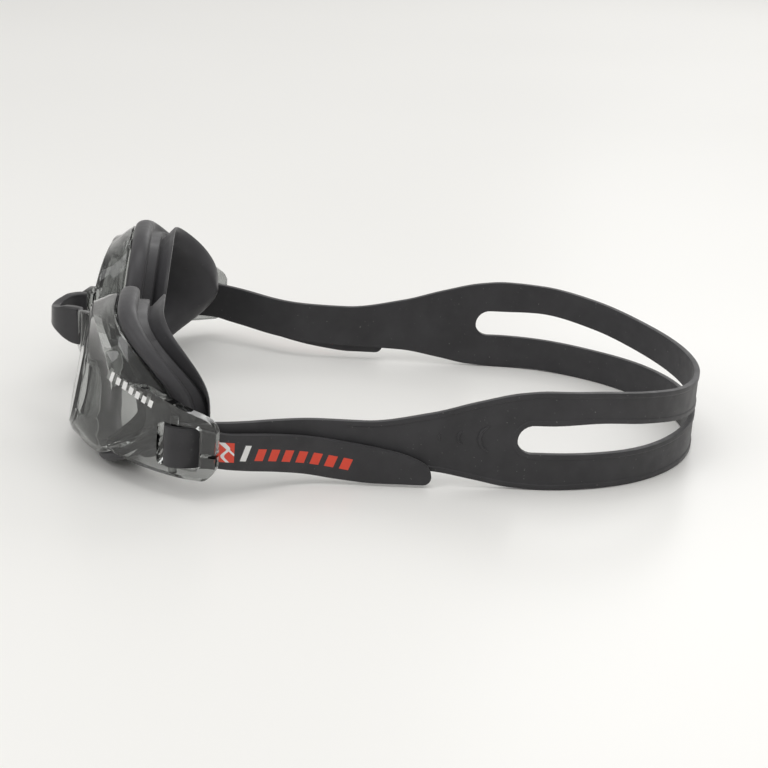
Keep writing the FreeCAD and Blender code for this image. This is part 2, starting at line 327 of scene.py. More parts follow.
def sawn(obj, name, cuts):
    """Copy of a piece with everything on one side of each cut taken away and the cut closed."""
    part = copy_of(obj, name)
    for where, across, low in cuts:
        edit(part)
        bpy.ops.mesh.select_all(action="SELECT")
        bpy.ops.mesh.bisect(plane_co=where, plane_no=across, use_fill=True,
                            clear_outer=low, clear_inner=not low, threshold=1e-7)
        leave()
    return part


def wrapped(obj, route):
    """Bends a flat moulding round its route. Its own length and height stay on it as a UV map."""
    mesh = obj.data
    uv = mesh.uv_layers.get("flat") or mesh.uv_layers.new(name="flat")
    for loop in mesh.loops:
        c = mesh.vertices[loop.vertex_index].co
        uv.data[loop.index].uv = (c.x * 10, c.y * 10)
    for v in mesh.vertices:
        s, z, t = v.co / MM
        p = route.point(min(max(s, 0), route.length)) + route.side(min(max(s, 0), route.length)) * t
        v.co = here(p.x, p.y, z)
    return obj


# ---------------------------------------------------------------- cup curves
def swept(c, s, roundness=1.3):
    """0 on the nose side and at top and bottom, rising to 1 at the rearmost point of the temple side."""
    away = (s - SWEEP_TIP) / (1 - SWEEP_TIP) if s > SWEEP_TIP else (SWEEP_TIP - s) / (1 + SWEEP_TIP)
    return (1 - away ** roundness) ** 1.4 if c > 0 else 0.0


def oval(i, count, nose, temple, half):
    a = 2 * math.pi * i / count
    c, s = math.cos(a), math.sin(a)
    x = math.copysign((temple if c > 0 else nose) * abs(c) ** (2 / SQUARENESS), c)
    z = math.copysign(half * abs(s) ** (2 / SQUARENESS), s)
    return x, z, c, s


def rim(offset, back, sweep=RIM_SWEEP, roundness=1.3):
    """Ring parallel to the lens rim; a higher roundness makes its rearmost point blunter."""
    out = []
    for i in range(RING_COUNT):
        x, z, c, s = oval(i, RING_COUNT, RIM_NOSE + offset, RIM_TEMPLE + offset, RIM_HALF + offset)
        out.append((CUP_X + x, RIM_Y + back + RIM_LEAN * z + sweep * swept(c, s, roundness), CUP_Z + z))
    return out


def window(offset, back):
    out = []
    for i in range(RING_COUNT):
        x, z, _, _ = oval(i, RING_COUNT, WINDOW_NOSE + offset, WINDOW_TEMPLE + offset, WINDOW_HALF + offset)
        out.append((WINDOW_X + x, WINDOW_Y + back + WINDOW_LEAN * z + WINDOW_WRAP * x, CUP_Z + z))
    return out


def wall(offset, share, bulge):
    """Ring on the side wall; share and bulge are functions of the direction round the cup."""
    out = []
    for i, (f, r) in enumerate(zip(window(offset, 0), rim(offset, 0))):
        a = 2 * math.pi * i / RING_COUNT
        c, s = math.cos(a), math.sin(a)
        k = share(c, s)
        b = bulge(c, s)
        out.append(tuple(f[j] * (1 - k) + r[j] * k + (c, 0, s)[j] * b for j in range(3)))
    return out


def swell(amount, base=0.8):
    return lambda c, s: base + amount * swept(c, s)


def leaf(c, s):
    """Width of the leaf-shaped facet next to the window, 0 to 1: widest at the temple, gone at the nose."""
    t = (s + 0.52) / 1.5
    return (4 * t * (1 - t)) ** 0.65 if c > 0 and 0 < t < 1 else 0.0


def crease(extra=0.0):
    return lambda c, s: 0.10 + extra + 0.29 * leaf(c, s)


# ---------------------------------------------------------------- lens cups
def cup_skin():
    outer = [window(-2.6, 0.25), window(-2.2, 0.2), window(-1.0, 0.0), window(-0.3, 0.0), window(0, 0.3),
             wall(0, lambda c, s: 0.055, lambda c, s: 0.45), wall(0, lambda c, s: 0.07, lambda c, s: 0.40),
             wall(0, crease(), lambda c, s: 0.7 + 3.6 * leaf(c, s)),
             wall(0, crease(0.012), lambda c, s: 0.95 + 3.75 * leaf(c, s)),
             wall(0, lambda c, s: 0.40 + 0.4 * crease()(c, s), swell(4.9)),
             wall(0, lambda c, s: 0.68, swell(4.6)), wall(0, lambda c, s: 0.82, swell(3.4, 0.6)),
             wall(0, lambda c, s: 0.93, swell(1.4, 0.3)), rim(0.0, -0.4), rim(-0.3, 0.0)]
    inner = [rim(-1.5, 0.0), rim(-1.8, -0.4), wall(-1.8, lambda c, s: 0.82, swell(3.2)),
             wall(-1.8, lambda c, s: 0.6, swell(4.4)), wall(-1.8, lambda c, s: 0.38, swell(3.4)),
             wall(-1.8, lambda c, s: 0.14, swell(0.6)), window(-1.8, 1.9), window(-2.6, 1.8)]
    return outer, inner


def cup_room():
    """Everything inside the cup, used to trim the arm and the collar."""
    inset = -0.9
    rings = [window(inset, 0.9), wall(inset, lambda c, s: 0.14, swell(0.8)),
             wall(inset, lambda c, s: 0.38, swell(3.6)), wall(inset, lambda c, s: 0.6, swell(4.5)),
             wall(inset, lambda c, s: 0.82, swell(3.3, 0.7)),
             rim(inset, -0.4), rim(inset, 8), rim(-12, 14, 0)]
    return ring_solid("cup_room", rings)


def seal_room():
    rings = [rim(-10, 0.05, 9), rim(2.35, 0.05), rim(2.35, 14), rim(-10, 20, 9)]
    return ring_solid("seal_room", rings)


ARM_ROUTE = Route([Vector(p) for p in ((53.6, 11.4), (57.8, 15.6), (62.0, 20.4), (65.2, 25.0), (67.6, 29.4),
                                       (69.3, 33.4), (71.3, 39.6))])
ARM_T = 3.0


def rounded_gap(y, front, rear, radius):
    """1 in the middle of a slot, falling to 0 at its rounded ends."""
    d = min(y - front, rear - y)
    if d <= 0:
        return 0.0
    if d >= radius:
        return 1.0
    return math.sqrt(1 - ((radius - d) / radius) ** 2)


def spread(first, last, step):
    count = max(1, round((last - first) / step))
    return [first + (last - first) * i / count for i in range(count + 1)]


def near_corner(front, radius, direction=1):
    """Places that follow a rounded slot end closely."""
    return [front + direction * radius * (1 - math.cos(math.radians(a))) for a in (0, 22, 38, 54, 70, 90)]


def arm_and_buckle():
    """Curved plate from the cup's temple side to the buckle, with the strap's window through it."""
    top = curve([(11, 22.0), (14, 25.2), (18, 27.6), (22, 27.6), (26, 26.2), (31, 24.4), (36, 22.9),
                 (38.6, 21.6), (40.2, 19.6)])
    low = curve([(11, 7.6), (14, 7.0), (18, 6.6), (22, 6.3), (26, 6.1), (31, 5.9), (36, 6.0), (38.6, 7.4),
                 (40.2, 9.6)])
    front, rear, corner = 24.6, 35.4, 1.5
    ys = (spread(11.6, front - 1.2, 1.5) + near_corner(front, corner)
          + spread(front + corner, rear - corner, 1.6)[1:-1]
          + near_corner(rear, corner, -1)[::-1] + spread(rear + 0.9, 39.5, 0.8))
    window_low, middle, window_high = 8.3, 14.2, 20.2
    columns = []
    for y in ys:
        s = ARM_ROUTE.place_of(y, 0, ARM_ROUTE.length)
        gap = rounded_gap(y, front, rear, corner)
        edge = rounded_gap(y, -50, 40.1, 3.2)
        end_top = middle + (top(y) - middle) * (0.55 + 0.45 * edge)
        end_low = middle - (middle - low(y)) * (0.55 + 0.45 * edge)
        high = middle + (window_high - middle) * (0.72 + 0.28 * gap) if gap > 0 else middle
        deep = middle - (middle - window_low) * (0.72 + 0.28 * gap) if gap > 0 else middle
        columns.append((s, even(end_low, deep, 5), even(high, end_top, 5)))
    plate = flat_strip("arm", columns, ARM_T)
    soften(plate, 0.75, 3)
    wrapped(plate, ARM_ROUTE)
    return settle(plate, 40)


def buckle_slit():
    """Thin slit through the buckle's end bar, for slipping the strap in."""
    drop_selection()
    bpy.ops.mesh.primitive_cube_add(size=1, location=here(70.5, 38.2, 13.1))
    slit = blank("slit")
    slit.dimensions = Vector((9, 6.2, 1.0)) * MM
    bpy.ops.object.transform_apply(location=True, rotation=True, scale=True)
    soften(slit, 0.25, 2)
    return slit


def collar():
    """Short collar on the nose side, where the bridge butts against the lens."""
    drop_selection()
    bpy.ops.mesh.primitive_cube_add(size=2, location=(0, 0, 0))
    block = blank("collar")
    plan = {(-1, -1, 1): (7.6, -2.4, 31.0), (1, -1, 1): (13.6, 0.2, 31.6), (1, 1, 1): (14.6, 4.4, 31.4),
            (-1, 1, 1): (7.6, 1.6, 31.0), (-1, -1, -1): (7.6, -1.4, 19.4), (1, -1, -1): (13.2, -0.2, 18.8),
            (1, 1, -1): (14.2, 2.4, 18.8), (-1, 1, -1): (7.6, 0.9, 19.4)}
    for v in block.data.vertices:
        v.co = here(*plan[tuple(round(c) for c in v.co)])
    soften(block, 0.45, 2, 40)
    return settle(block)


def lens_cup():
    outer, inner = cup_skin()
    cup = settle(ring_solid("lens_shell_left", outer + inner), 30)
    room = settle(cup_room())
    bead = settle(seal_room())
    arm = arm_and_buckle()
    nose = collar()
    slit = buckle_slit()
    apply(arm, "BOOLEAN", operation="DIFFERENCE", object=slit, solver="EXACT")
    for extra in (arm, nose):
        apply(extra, "BOOLEAN", operation="DIFFERENCE", object=room, solver="EXACT")
        apply(extra, "BOOLEAN", operation="DIFFERENCE", object=bead, solver="EXACT")
        apply(cup, "BOOLEAN", operation="UNION", object=extra, solver="EXACT")
    for scrap in (room, bead, arm, nose, slit):
        remove(scrap)
    edit(cup)
    bpy.ops.mesh.select_all(action="SELECT")
    bpy.ops.mesh.remove_doubles(threshold=1e-5)
    bpy.ops.mesh.dissolve_degenerate(threshold=1e-5)
    leave()
    take(cup)
    bpy.ops.object.shade_smooth_by_angle(angle=math.radians(28))
    return cup


def buckle_post():
    """Crossbar in the buckle's window, with a shoulder at each end."""
    drop_selection()
    low, high = 6.6, 21.8
    bpy.ops.mesh.primitive_cylinder_add(vertices=28, radius=POST_R * MM, depth=(high - low) * MM,
                                        location=here(POST_X, POST_Y, (low + high) / 2))
    post = blank("buckle_post_left")
    bpy.ops.object.transform_apply(location=True, rotation=True, scale=True)
    edit(post)
    use("FACE")
    bpy.ops.mesh.select_all(action="DESELECT")
    bm = bmesh.from_edit_mesh(post.data)
    for f in bm.faces:
        f.select_set(abs(f.normal.z) > 0.9)
    bmesh.update_edit_mesh(post.data)
    bpy.ops.mesh.inset(thickness=0.25 * MM, depth=0.2 * MM)
    leave()
    return settle(post, 50)


# ---------------------------------------------------------------- seals
def seal():
    """Round bead next to the lens, stepped neck, and a thin skirt that flares back to the face."""
    rings = []
    bead_out = 2.0
    for a in range(-90, 91, 20):
        c, s = math.cos(math.radians(a)), math.sin(math.radians(a))
        rings.append(rim(bead_out - 1.9 + 1.9 * max(c, 0) ** 0.8, 3.0 + 2.6 * s))
    start = [rim(-3.9, 0.6, RIM_SWEEP - 8.5), rim(-3.2, 0.5, RIM_SWEEP - 8.7),
             rim(-2.6, 0.6, RIM_SWEEP - 8.2), rim(-2.4, 0.7, RIM_SWEEP - 1), rim(-1.2, 0.62)]
    neck = [rim(-1.1, 5.7), rim(-1.3, 5.9), rim(-1.3, 8.3), rim(-1.7, 8.6), rim(-3.0, 8.7), rim(-3.2, 8.9),
            rim(-2.9, 9.4, RIM_SWEEP - 0.3, 1.35), rim(-2.0, 10.2, RIM_SWEEP - 1.2, 1.45),
            rim(-0.7, 11.2, SKIRT_SWEEP + 1, 1.6), rim(0.25, 12.0, SKIRT_SWEEP, 1.7),
            rim(0.3, 12.4, SKIRT_SWEEP, 1.7), rim(-0.1, 12.6, SKIRT_SWEEP, 1.7),
            rim(-1.2, 12.2, SKIRT_SWEEP + 0.2, 1.65), rim(-2.4, 11.3, SKIRT_SWEEP + 1.2, 1.55),
            rim(-3.6, 10.0, RIM_SWEEP - 1, 1.4),
            rim(-4.2, 8.6), rim(-4.3, 5.0, RIM_SWEEP - 1), rim(-4.3, 2.0, RIM_SWEEP - 5)]
    rings = start + rings + neck
    body = ring_solid("seal_left", rings, close=False)
    edit(body)
    use("EDGE")
    bpy.ops.mesh.select_all(action="DESELECT")
    bpy.ops.mesh.select_non_manifold()
    bpy.ops.mesh.bridge_edge_loops()
    leave()
    return settle(body, 60)


# ---------------------------------------------------------------- bridge
def bridge():
    """Arch between the cups: tall at its feet, narrowing to a rounded crown in front."""
    plan = [(-8.0, 0.6), (-7.2, -1.8), (-5.6, -5.0), (-3.1, -7.5), (0, -8.3), (3.1, -7.5), (5.6, -5.0),
            (7.2, -1.8), (8.0, 0.6)]
    route = Route([Vector(p) for p in plan])
    half = route.length / 2
    top = curve([(0, 31.0), (3, 31.3), (6, 31.1), (8.5, 30.3), (half - 2, 29.7), (half, 29.5),
                 (half + 2, 29.7)])
    low = curve([(0, 20.4), (3, 20.6), (6, 21.6), (8.5, 22.9), (half - 2, 23.8), (half, 24.0),
                 (half + 2, 23.8)])
    waist = 26.2
    columns = []
    for s in spread(0.9, route.length - 0.9, 0.55):
        m = min(s, route.length - s)
        columns.append((s, even(low(m), waist, 4), even(waist, top(m), 4)))
    arch = flat_strip("bridge_arch", columns, 2.6)
    soften(arch, 1.0, 4)
    wrapped(arch, route)
    return settle(arch, 40)


# ---------------------------------------------------------------- strap
INNER = [(64.5, 30.4), (64.3, 33.5), (63.1, 39.5), (60.1, 46.5), (55.7, 54.5), (53.0, 62.0), (52.2, 70.0),
         (STRAP_X, 86.0), (STRAP_X, 104.0), (STRAP_X, 116.0)]
OUTER = [(TAIL_X, 104.0), (TAIL_X, 86.0), (TAIL_X, 71.5), (55.2, 63.0), (58.3, 55.2), (62.6, 47.2),
         (65.4, 40.8), (66.8, 36.4), (68.5, 32.0)]
STRAP_PLAN = ([Vector(p) for p in OUTER] + arc(POST_X, POST_Y, TURN_R, 0, -180, 12)
              + [Vector(p) for p in INNER]
              + arc(0, BEND_Y, STRAP_X, 0, 110, 22))
STRAP = Route(STRAP_PLAN)
TURN_S = min(spread(40, 110, 0.2), key=lambda s: STRAP.point(s).y)
BACK_S = max(spread(TURN_S, STRAP.length, 0.2), key=lambda s: STRAP.point(s).y)

LEAD_TOP = curve([(28, 19.4), (36, 19.3), (42, 18.9), (60, 17.6), (78, 17.3), (96, 20.4), (108, 24.0),
                  (120, 27.0), (128, 27.8), (140, 27.6), (156, 25.8), (170, 23.2), (178, 22.0)])
LEAD_LOW = curve([(28, 8.6), (36, 8.5), (42, 7.6), (60, 5.8), (78, 4.7), (96, 4.2), (108, 2.3), (118, 0.5),
                  (128, 0.02), (140, 0.25), (156, 0.05), (170, 0.15), (178, 0.4)])
SLOT_HIGH = curve([(118, 18.3), (128, 18.4), (140, 18.9), (156, 16.9), (170, 13.9), (178, 12.3)])
SLOT_DEEP = curve([(118, 10.1), (128, 10.2), (140, 10.1), (156, 9.8), (170, 10.2), (178, 10.5)])
TAILS = {
    "left": (96.8,
             curve([(28, 19.4), (34, 19.2), (38, 17.9), (42, 16.7), (48, 15.9), (61, 13.7), (72, 12.0),
                    (82, 10.4), (88, 9.2), (93, 7.4), (96.8, 5.4)]),
             curve([(28, 8.6), (36, 8.4), (42, 7.1), (48, 5.9), (61, 3.4), (72, 1.5), (82, 0.7),
                    (97, 0.7)])),
    "right": (90.2,
              curve([(28, 19.4), (34, 19.3), (38, 18.4), (42, 17.8), (48, 17.0), (60, 15.2), (72, 13.5),
                     (80, 12.0), (86, 9.6), (90.2, 7.0)]),
              curve([(28, 8.6), (36, 8.4), (42, 7.4), (48, 6.6), (60, 4.8), (72, 3.0), (80, 2.2),
                     (91, 2.2)])),
}


RIM_W, RIM_SLOPE, RIM_H = 1.2, 0.3, 0.22   # raised rim along the strap's edges
PANEL_Y = 74.0                             # where the raised rim begins
TIP_R = 2.2                                # corners of the free end
SLOT_R = 4.3                               # rounded end of the slot between the bands
SLOT_S = STRAP.place_of(SLOT_Y, TURN_S + 3, BACK_S)


def slot_half(s, y, margin):
    """Half heights below and above the slot's middle at a length, for the slot grown by a margin."""
    r = SLOT_R + margin
    d = SLOT_S + SLOT_R - s
    if d >= r:
        return 0.0, 0.0
    round_end = math.sqrt(1 - (max(d, 0) / r) ** 2)
    return (SLOT_Z - SLOT_DEEP(y) + margin) * round_end, (SLOT_HIGH(y) - SLOT_Z + margin) * round_end


def strap_edges(s, tail):
    """Bottom and top edge of the strap at a length from the tail's tip."""
    end_y, tail_top, tail_low = TAILS[tail]
    y = STRAP.point(s).y
    if s > TURN_S:
        return LEAD_LOW(y), LEAD_TOP(y)
    top, low = tail_top(y), tail_low(y)
    d = s - STRAP.place_of(end_y, 0, TURN_S)
    if d < TIP_R:
        k = 1 - (1 - math.sqrt(max(0.0, 1 - ((TIP_R - d) / TIP_R) ** 2))) * TIP_R / ((top - low) / 2)
        middle = (top + low) / 2
        top, low = middle + (top - middle) * k, middle - (middle - low) * k
    return low, top


def strap_columns(tail):
    tip = STRAP.place_of(TAILS[tail][0], 0, TURN_S)
    fold_out = STRAP.place_of(SEAM_FOLD_Y, 0, TURN_S)
    fold_in, yoke = [STRAP.place_of(y, TURN_S + 3, BACK_S) for y in (SEAM_FOLD_Y, SEAM_YOKE_Y)]
    places = near_corner(tip, TIP_R)[:-1] + spread(tip + TIP_R, fold_out - 0.7, 1.5)
    places += spread(fold_out + 0.7, TURN_S - 4, 1.2) + spread(TURN_S - 4, TURN_S + 4, 0.5)[1:]
    places += spread(TURN_S + 4, fold_in - 0.6, 1.3)[1:] + spread(fold_in + 0.6, yoke - 0.7, 1.8)
    front = SLOT_S - RIM_W - RIM_SLOPE
    places += spread(yoke + 0.7, front - 1.2, 1.5)
    places += [front + d for d in (0, 0.1, 0.3, 0.42, 0.6, 0.9, 1.2, 1.5, 1.62, 1.9, 2.4, 3.1, 4.0, 5.0,
                                   5.8)]
    places += spread(SLOT_S + 5.4, BACK_S + 6, 1.57)
    columns = []
    for s in places:
        low, top = strap_edges(s, tail)
        if s < TURN_S:
            middle = (low + top) / 2
            columns.append((s, even(low, middle, 7), even(middle, top, 7)))
            continue
        y = STRAP.point(s).y
        wide = RIM_W + RIM_SLOPE
        below, above = zip(*[slot_half(s, y, m) for m in (0, RIM_W, wide)])
        under = ([low, low + RIM_W] + even(low + wide, SLOT_Z - below[2], 3)
                 + [SLOT_Z - below[1], SLOT_Z - below[0]])
        over = ([SLOT_Z + above[0], SLOT_Z + above[1]] + even(SLOT_Z + above[2], top - wide, 3)
                + [top - RIM_W, top])
        columns.append((s, under, over))
    return columns


def on_panel(tail):
    """Tells whether a place on the flat strap lies inside the raised rim."""
    first = STRAP.place_of(PANEL_Y, TURN_S + 3, BACK_S)

    def inside(s, z):
        if s < first:
            return False
        low, top = strap_edges(s, tail)
        wide = RIM_W + RIM_SLOPE - 0.01
        below, above = slot_half(s, STRAP.point(min(s, STRAP.length)).y, RIM_W + RIM_SLOPE)
        clear = z <= SLOT_Z - below + 0.01 or z >= SLOT_Z + above - 0.01
        return low + wide < z < top - wide and clear

    return inside


def strap_side(tail):
    """One side of the strap, moulded flat from the tail's tip to the back's middle and sawn into pieces."""
    flat = flat_strip("strap_flat", strap_columns(tail), STRAP_T)
    sunk_panel(flat, on_panel(tail), RIM_H)
    soften(flat, 0.32, 2)
    fold_out = STRAP.place_of(SEAM_FOLD_Y, 0, TURN_S)
    seams = (SEAM_FOLD_Y, SEAM_YOKE_Y, SEAM_BAND_Y)
    fold_in, yoke, band = [STRAP.place_of(y, TURN_S + 3, BACK_S) for y in seams]
    x = Vector((1, 0, 0))

    def cut(name, first, last):
        cuts = []
        if first is not None:
            cuts.append((x * first * MM, x, False))
        if last is not None:
            cuts.append((x * last * MM, x, True))
        part = sawn(flat, name, cuts)
        wrapped(part, STRAP)
        return settle(part, 35)

    parts = {"tail": cut("strap_tail_" + tail, None, fold_out),
             "turn": cut("strap_turn_" + tail, fold_out, fold_in),
             "run": cut("strap_run_" + tail, fold_in, yoke),
             "plate": cut("strap_plate_" + tail, yoke, band),
             "bands": cut("bands_" + tail, band, BACK_S)}
    remove(flat)
    if tail == "right":
        for part in parts.values():
            part.data.transform(Matrix.Scale(-1, 4, (1, 0, 0)))
            part.data.flip_normals()
    return parts


def loose_parts(obj):
    take(obj)
    bpy.ops.object.mode_set(mode="EDIT")
    bpy.ops.mesh.select_all(action="SELECT")
    bpy.ops.mesh.separate(type="LOOSE")
    bpy.ops.object.mode_set(mode="OBJECT")
    return list(bpy.context.selected_objects)


def rear_bands(left, right):
    """The two rear bands: the halves from both sides, joined at the middle of the back."""
    made = []
    groups = {"upper": [], "lower": []}
    for half in loose_parts(left) + loose_parts(right):
        z = sum(v.co.z for v in half.data.vertices) / len(half.data.vertices)
        groups["upper" if z > SLOT_Z * MM else "lower"].append(half)
    for where in ("upper", "lower"):
        drop_selection()
        for o in groups[where]:
            o.select_set(True)
        bpy.context.view_layer.objects.active = groups[where][0]
        bpy.ops.object.join()
        band = groups[where][0]
        band.name = band.data.name = "rear_band_" + where
        edit(band)
        use("FACE")
        bpy.ops.mesh.select_all(action="DESELECT")
        bm = bmesh.from_edit_mesh(band.data)
        for f in bm.faces:
            f.select_set(abs(f.normal.x) > 0.99 and abs(f.calc_center_median().x) < 1e-4)
        bmesh.update_edit_mesh(band.data)
        bpy.ops.mesh.delete(type="FACE")
        leave()
        for v in band.data.vertices:
            if abs(v.co.x) < 6e-5:
                v.co.x = 0
        made.append(settle(band, 35))
    return made


def grip_marks():
    """Three raised crescents on the wide plate, growing towards the slot."""
    marks = []
    for y, r, thick in ((99.0, 0.9, 0.32), (105.2, 1.9, 0.44), (112.8, 3.7, 0.56)):
        drop_selection()
        bpy.ops.mesh.primitive_circle_add(vertices=10, radius=thick * MM, fill_type="NOTHING",
                                          rotation=(math.pi / 2, 0, 0), location=(r * MM, 0, 0))
        mark = blank("grip_mark")
        bpy.ops.object.transform_apply(location=True, rotation=True, scale=True)
        edit(mark)
        bpy.ops.mesh.select_all(action="SELECT")
        bpy.ops.mesh.spin(steps=22, angle=math.radians(150), center=(0, 0, 0), axis=(0, 0, 1), dupli=False)
        leave()
        first = math.radians(105)
        for v in mark.data.vertices:
            a = abs(math.atan2(v.co.y, v.co.x))
            t = a / math.radians(150)
            k = 0.25 + 0.75 * math.sin(math.pi * min(max(t, 0), 1))
            radius = math.hypot(v.co.x, v.co.y)
            radius = r * MM + (radius - r * MM) * k
            b = first + a
            x, z = radius * math.cos(b), radius * math.sin(b)
            v.co = here(STRAP_X + STRAP_T / 2 - 0.22, y, SLOT_Z + 0.1) + Vector((v.co.z * k, x, z))
        edit(mark)
        use("EDGE")
        bpy.ops.mesh.select_all(action="DESELECT")
        bpy.ops.mesh.select_non_manifold()
        bpy.ops.mesh.edge_face_add()
        leave()
        marks.append(mark)
    drop_selection()
    for m in marks:
        m.select_set(True)
    bpy.context.view_layer.objects.active = marks[0]
    bpy.ops.object.join()
    marks[0].name = marks[0].data.name = "grip_marks_left"
    return settle(marks[0], 60)


# ---------------------------------------------------------------- materials
class Wire:
    """A socket in a finish's node tree; sums on it add Math nodes."""

    def __init__(self, finish, socket):
        self.finish = finish
        self.socket = socket

    def _sum(self, operation, a, b):
        return self.finish.node("ShaderNodeMath", {"operation": operation}, {0: a, 1: b})

    def __add__(self, other):
        return self._sum("ADD", self, other)

    def __radd__(self, other):
        return self._sum("ADD", other, self)

    def __sub__(self, other):
        return self._sum("SUBTRACT", self, other)

    def __rsub__(self, other):
        return self._sum("SUBTRACT", other, self)

    def __mul__(self, other):
        return self._sum("MULTIPLY", self, other)

    def __rmul__(self, other):
        return self._sum("MULTIPLY", other, self)

    def __truediv__(self, other):
        return self._sum("DIVIDE", self, other)

    def __lt__(self, other):
        return self._sum("LESS_THAN", self, other)

    def __gt__(self, other):
        return self._sum("GREATER_THAN", self, other)

    def size(self):
        return self._sum("ABSOLUTE", self, 0)

    def share(self):
        """What is left over after whole numbers."""
        return self._sum("FRACT", self, 0)


class Finish:
    """One procedural material."""

    def __init__(self, name):
        self.material = bpy.data.materials.new(name)
        self.material.use_nodes = True
        self.tree = self.material.node_tree
        self.shader = self.tree.nodes["Principled BSDF"]

    def node(self, kind, settings=None, values=None, out=0):
        n = self.tree.nodes.new(kind)
        for key, value in (settings or {}).items():
            if key == "stops":
                for stop, (place, colour) in zip(n.color_ramp.elements, value):
                    stop.position, stop.color = place, colour
            else:
                setattr(n, key, value)
        for key, value in (values or {}).items():
            self.feed(n.inputs[key], value)
        return Wire(self, n.outputs[out])

    def feed(self, socket, value):
        if isinstance(value, Wire):
            self.tree.links.new(value.socket, socket)
        else:
            socket.default_value = value

    def set(self, **values):
        for key, value in values.items():
            self.feed(self.shader.inputs[key.replace("_", " ")], value)

    def place(self):
        return self.node("ShaderNodeTexCoord", out=3)

    def noise(self, scale, detail=3.0, roughness=0.55):
        return self.node("ShaderNodeTexNoise", None, {"Vector": self.place(), "Scale": scale,
                                                      "Detail": detail, "Roughness": roughness})

    def fade(self, value, low, high, to_low=0.0, to_high=1.0):
        return self.node("ShaderNodeMapRange", {"interpolation_type": "SMOOTHSTEP"},
                         {"Value": value, "From Min": low, "From Max": high,
                          "To Min": to_low, "To Max": to_high})

    def mix(self, factor, a, b):
        return self.node("ShaderNodeMix", {"data_type": "RGBA"}, {0: factor, 6: a, 7: b}, out=2)

    def bump(self, height, strength, distance):
        return self.node("ShaderNodeBump", None,
                         {"Height": height, "Strength": strength, "Distance": distance})

    def split(self, vector):
        n = self.tree.nodes.new("ShaderNodeSeparateXYZ")
        self.feed(n.inputs[0], vector)
        return [Wire(self, o) for o in n.outputs]


def silicone(name, base, rough, speck=0.5, prints=None):
    """Matte moulded silicone: cloudy tone, fine skin and a little dust."""
    f = Finish(name)
    cloud = f.fade(f.noise(90, 4), 0.3, 0.7)
    skin = f.noise(2600, 2, 0.6)
    dust = f.fade(f.noise(1500, 1, 0.5), 0.74, 0.80) * speck
    dark = (base * 0.86, base * 0.84, base * 0.92, 1)
    pale = (base * 1.16, base * 1.13, base * 1.24, 1)
    colour = f.mix(cloud, dark, pale)
    colour = f.mix(dust * 0.5, colour, (0.32, 0.31, 0.30, 1))
    roughness = f.fade(f.noise(240, 3), 0.3, 0.7, rough - 0.06, rough + 0.06)
    if prints:
        colour, roughness = prints(f, colour, roughness)
    f.set(Base_Color=colour, Roughness=roughness, Normal=f.bump(skin + cloud * 0.6, 0.22, 0.00004))
    f.set(Sheen_Weight=0.12, Sheen_Roughness=0.45, Specular_IOR_Level=0.42)
    return f.material


ORANGE = (0.72, 0.062, 0.030, 1)
WHITE = (0.80, 0.80, 0.79, 1)


def slanted_bars(along, across, first, count, pitch, width, tall, slant=0.35):
    """Row of slanted bars: 1 on the ink, 0 beside it. All in mm."""
    x = (along - first) - across * slant
    row = (x > 0) * (x < count * pitch)
    bar = ((x / pitch).share() * pitch) < width
    return row * bar * (across.size() < tall)


def tail_print(f, colour, roughness):
    """Generic print on the tail: a small block crossed by a wave, then a row of slanted bars."""
    u, v, _ = f.split(f.node("ShaderNodeUVMap", {"uv_map": "flat"}))
    start = STRAP.place_of(38.9, 0, TURN_S)
    along = start - u * 100
    across = v * 100 - (12.45 - along * 0.165)
    block = ((along - 2.5).size() < 2.5) * (across.size() < 2.7)
    wave = ((along - 2.5)
            - f.node("ShaderNodeMath", {"operation": "SINE"}, {0: across * 1.5}) * 0.8).size() < 0.5
    notch = ((across + along * 0.8 - 3.4).size() < 0.35)
    white = block * f.node("ShaderNodeMath", {"operation": "MAXIMUM"}, {0: wave, 1: notch})
    lead_bar = slanted_bars(along, across, 7.4, 1, 3.0, 1.7, 2.2)
    bars = slanted_bars(along, across + 0.35, 11.4, 7, 4.1, 2.5, 1.65)
    colour = f.mix(block + bars, colour, ORANGE)
    colour = f.mix(white + lead_bar, colour, WHITE)
    inked = block + bars + lead_bar
    return colour, roughness + (0.38 - roughness) * inked


def smoked(name):
    """Clear smoked plastic with fine swirls and scuffs."""
    f = Finish(name)
    scuff = f.fade(f.noise(420, 4), 0.35, 0.75)
    f.set(Roughness=f.fade(scuff, 0, 1, 0.02, 0.06), Normal=f.bump(f.noise(60, 2), 0.08, 0.0003))
    f.set(Base_Color=f.mix(f.noise(130, 3), (0.36, 0.37, 0.365, 1), (0.43, 0.44, 0.43, 1)))
    f.set(Transmission_Weight=1.0, IOR=1.5, Specular_IOR_Level=0.5, Coat_Weight=0.3, Coat_Roughness=0.03)
    x, y, z = f.split(f.place())
    along = (y / MM) + MIDDLE_Y
    across = (z / MM) - (27.6 - (along - 11.8) * 0.34)
    side = x.size() > 0.052
    ink = slanted_bars(along, across, 12.6, 6, 1.75, 1.05, 1.05, 0.25) * side
    tall = slanted_bars(along, across - 0.2, 11.0, 1, 1.5, 0.8, 1.5, 0.25) * side
    paint = f.tree.nodes.new("ShaderNodeBsdfPrincipled")
    paint.inputs["Base Color"].default_value = WHITE
    paint.inputs["Roughness"].default_value = 0.4
    blend = f.node("ShaderNodeMixShader", None, {0: ink + tall, 1: Wire(f, f.shader.outputs[0]),
                                                 2: Wire(f, paint.outputs[0])})
    f.tree.links.new(blend.socket, f.tree.nodes["Material Output"].inputs["Surface"])
    return f.material


